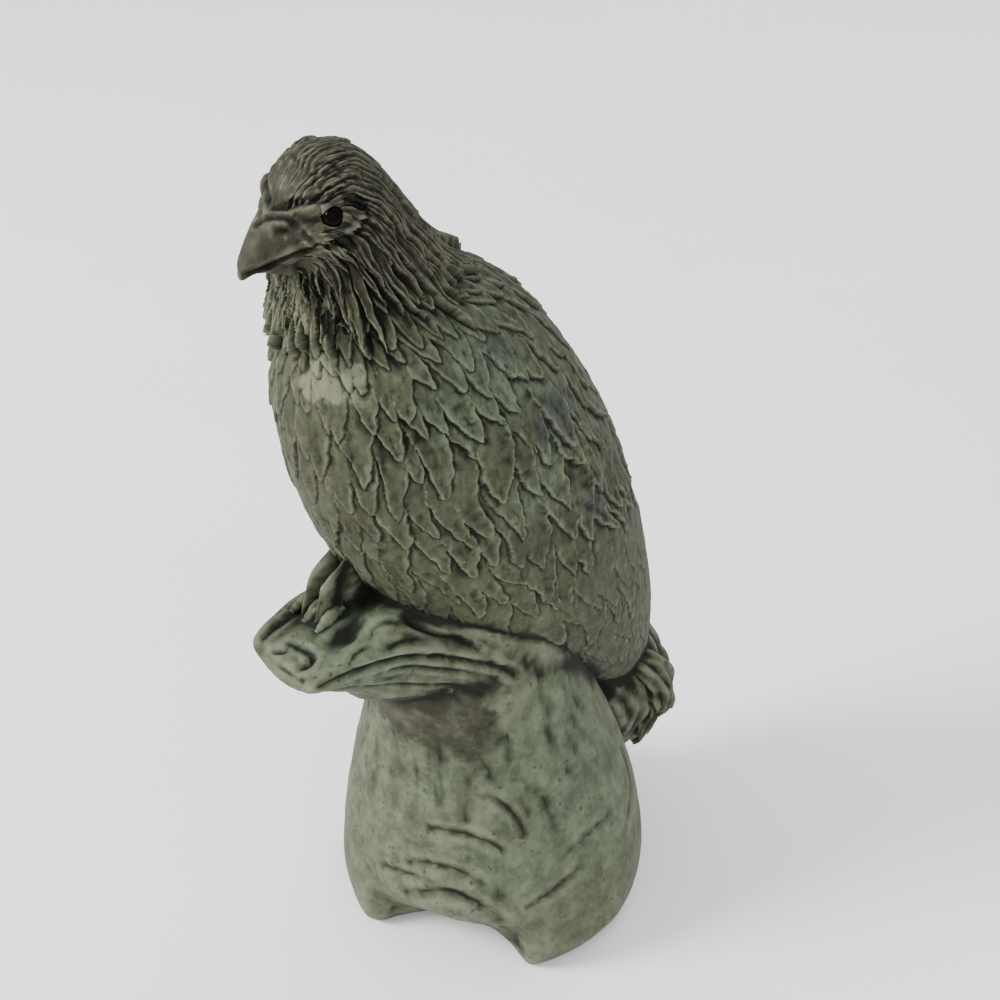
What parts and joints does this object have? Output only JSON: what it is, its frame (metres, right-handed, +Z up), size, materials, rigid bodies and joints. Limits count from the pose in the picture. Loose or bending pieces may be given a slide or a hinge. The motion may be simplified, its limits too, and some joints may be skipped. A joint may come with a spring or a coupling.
{
  "type": "bird sculpture on stump",
  "caption": "Carved stone bird of prey perched on a short branch above a stump with a scalloped foot, with glass bead eyes; stands on its flat underside.",
  "frame": {"origin": "middle of the stump's flat underside", "axes": "+Z up, the bird faces -Y, +X is the bird's left"},
  "size_m": [0.0896, 0.1368, 0.2381],
  "materials": {
    "stone": "grey-green cast stone, dark wash in the carving, pale rubbed edges",
    "eye_glass": "glossy black glass bead, opaque"
  },
  "bodies": {
    "root": {"bird_on_stump": "stone", "eye_left": "eye_glass", "eye_right": "eye_glass"}
  },
  "joints": []
}
